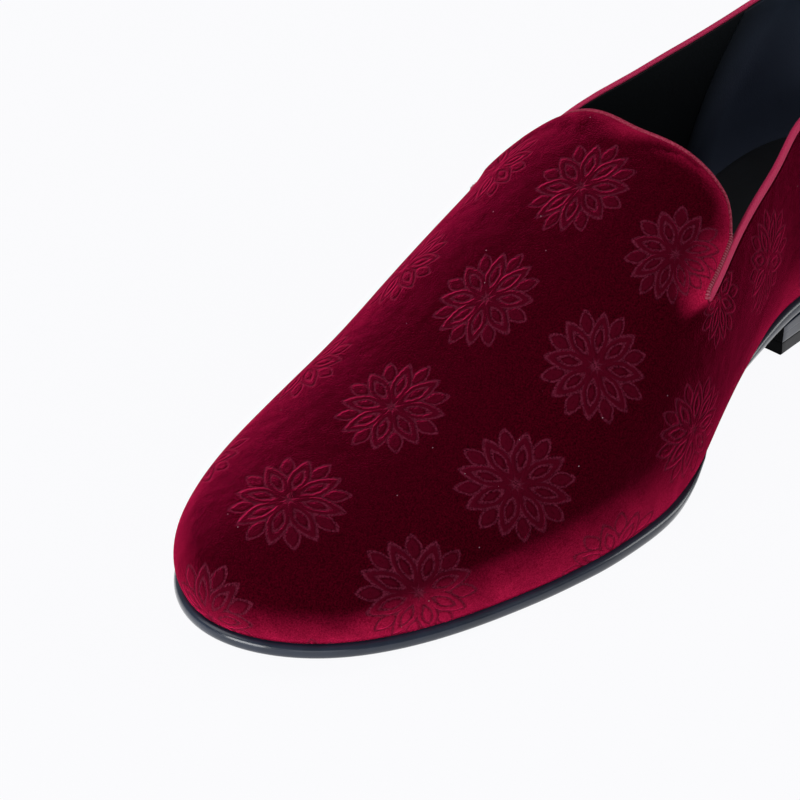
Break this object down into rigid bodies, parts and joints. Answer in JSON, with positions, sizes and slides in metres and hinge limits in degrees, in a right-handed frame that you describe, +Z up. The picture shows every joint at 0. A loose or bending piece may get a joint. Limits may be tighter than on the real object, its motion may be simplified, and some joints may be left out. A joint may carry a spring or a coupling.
{
  "type": "loafer",
  "caption": "Left velvet slipper-loafer: hollow whole-cut upper with a tongue-shaped vamp, taped collar, leather sole with bevelled waist and toe spring, low stacked heel.",
  "frame": {"origin": "on the floor, under the middle of the shoe's box", "axes": "+X towards the toe, +Y towards the wearer's left, which is the outer side of this left shoe, +Z up"},
  "size_m": [0.297, 0.1064, 0.0862],
  "materials": {
    "velvet": "deep crimson velvet, pressed pattern",
    "binding_tape": "ribbed crimson tape",
    "sole_leather": "black leather, edge dressed and polished",
    "heel_leather": "black stacked leather, polished",
    "lift_rubber": "black rubber, satin",
    "insole_leather": "black leather sock, matt"
  },
  "bodies": {
    "root": {"outsole": "sole_leather", "heel_block": "heel_leather", "heel_top_lift": "lift_rubber", "insole": "insole_leather", "upper": "velvet", "topline_binding": "binding_tape"}
  },
  "joints": []
}
